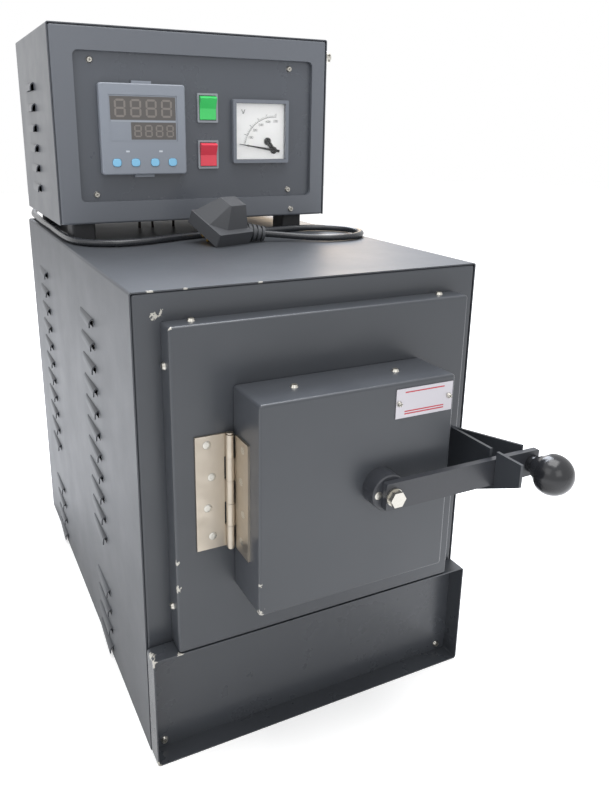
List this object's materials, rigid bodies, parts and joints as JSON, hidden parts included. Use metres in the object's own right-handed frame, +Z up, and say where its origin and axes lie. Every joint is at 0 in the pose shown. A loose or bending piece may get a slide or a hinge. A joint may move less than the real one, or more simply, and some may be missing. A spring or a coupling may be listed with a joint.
{
  "type": "muffle furnace",
  "caption": "Bench-top muffle furnace: louvred sheet-metal casing, hinged door with lever latch, and a control box with controller, switches and voltmeter on its roof.",
  "frame": {"origin": "centre of the casing's footprint on the floor", "axes": "+Z up, the door faces -Y, +X to the right of someone in front of the door"},
  "size_m": [0.3691, 0.7311, 0.668],
  "materials": {
    "powder_coat": "satin black powder coat",
    "galvanised": "dull galvanised",
    "zinc": "zinc plated",
    "hinge_steel": "satin",
    "refractory": "matt",
    "fibre": "matt fibre board",
    "element": "oxidised",
    "bakelite": "gloss",
    "black_plastic": "matt",
    "slate_plastic": "matt",
    "display": "gloss dark window",
    "key_blue": "matt",
    "green_plastic": "gloss translucent",
    "red_plastic": "gloss translucent",
    "dial_white": "matt white",
    "clear": "clear",
    "aluminium": "brushed",
    "brass": "bright",
    "cord_rubber": "satin"
  },
  "bodies": {
    "furnace": {"base_tray": "galvanised", "box_back": "powder_coat", "box_base": "powder_coat", "box_cover": "powder_coat", "box_feet": "black_plastic", "box_front": "powder_coat", "box_screws": "zinc", "casing_screws": "zinc", "casing_wrap": "powder_coat", "contactor": "black_plastic", "controller_case": "slate_plastic", "controller_lens": "display", "cord_gland": "black_plastic", "front_panel": "powder_coat", "furnace_leads": "cord_rubber", "heating_element": "element", "hinge_leaf_body": "hinge_steel", "hinge_pin": "hinge_steel", "hinge_screws_body": "zinc", "instrument_panel": "powder_coat", "insulation_bottom": "fibre", "insulation_rear": "fibre", "insulation_sides": "fibre", "insulation_top": "fibre", "latch_keeper": "powder_coat", "load_switch": "red_plastic", "lower_front_cover": "powder_coat", "main_switch": "green_plastic", "mouth_block": "refractory", "muffle": "refractory", "plug_body": "black_plastic", "plug_pins": "brass", "power_cord": "cord_rubber", "raised_front_pan": "powder_coat", "rear_panel": "powder_coat", "terminal_block": "refractory", "thermocouple": "element", "voltmeter_case": "black_plastic", "voltmeter_dial": "dial_white", "voltmeter_lens": "clear"},
    "door": {"door_shell": "powder_coat", "door_back_plate": "galvanised", "door_insulation": "fibre", "door_plug": "refractory", "door_screws": "zinc", "name_plate": "aluminium", "hinge_leaf_door": "hinge_steel", "hinge_screws_door": "zinc", "latch_boss": "aluminium", "boss_screws": "zinc", "latch_bolt": "zinc"},
    "latch": {"latch_bar": "zinc", "latch_knob": "bakelite"},
    "main_rocker": {"main_rocker": "green_plastic"},
    "load_rocker": {"load_rocker": "red_plastic"},
    "key_1": {"key_1": "key_blue"},
    "key_2": {"key_2": "key_blue"},
    "key_3": {"key_3": "key_blue"},
    "key_4": {"key_4": "key_blue"},
    "needle": {"voltmeter_needle": "black_plastic"}
  },
  "joints": [
    {"name": "door_hinge", "type": "hinge", "parent": "furnace", "child": "door", "pos_m": [-0.099, -0.2916, 0.268], "axis": [0, 0, -1], "range_deg": [0, 98]},
    {"name": "latch_lift", "type": "hinge", "parent": "door", "child": "latch", "pos_m": [0.019, -0.361, 0.271], "axis": [0, -1, 0], "range_deg": [0, 75]},
    {"name": "main_rocker_tilt", "type": "hinge", "parent": "furnace", "child": "main_rocker", "pos_m": [0.0008, 0.0148, 0.5875], "axis": [-1, 0, 0], "range_deg": [0, 22]},
    {"name": "load_rocker_tilt", "type": "hinge", "parent": "furnace", "child": "load_rocker", "pos_m": [0.0008, 0.0148, 0.536], "axis": [-1, 0, 0], "range_deg": [0, 22]},
    {"name": "key_1_travel", "type": "slide", "parent": "furnace", "child": "key_1", "axis": [0, 1, 0], "range_m": [0, 0.0006], "stiffness_N_per_m": 600},
    {"name": "key_2_travel", "type": "slide", "parent": "furnace", "child": "key_2", "axis": [0, 1, 0], "range_m": [0, 0.0006], "stiffness_N_per_m": 600},
    {"name": "key_3_travel", "type": "slide", "parent": "furnace", "child": "key_3", "axis": [0, 1, 0], "range_m": [0, 0.0006], "stiffness_N_per_m": 600},
    {"name": "key_4_travel", "type": "slide", "parent": "furnace", "child": "key_4", "axis": [0, 1, 0], "range_m": [0, 0.0006], "stiffness_N_per_m": 600},
    {"name": "needle_swing", "type": "hinge", "parent": "furnace", "child": "needle", "pos_m": [0.0848, 0.011, 0.5405], "axis": [0, 1, 0], "range_deg": [0, 85], "stiffness_Nm_per_rad": 0.001}
  ]
}
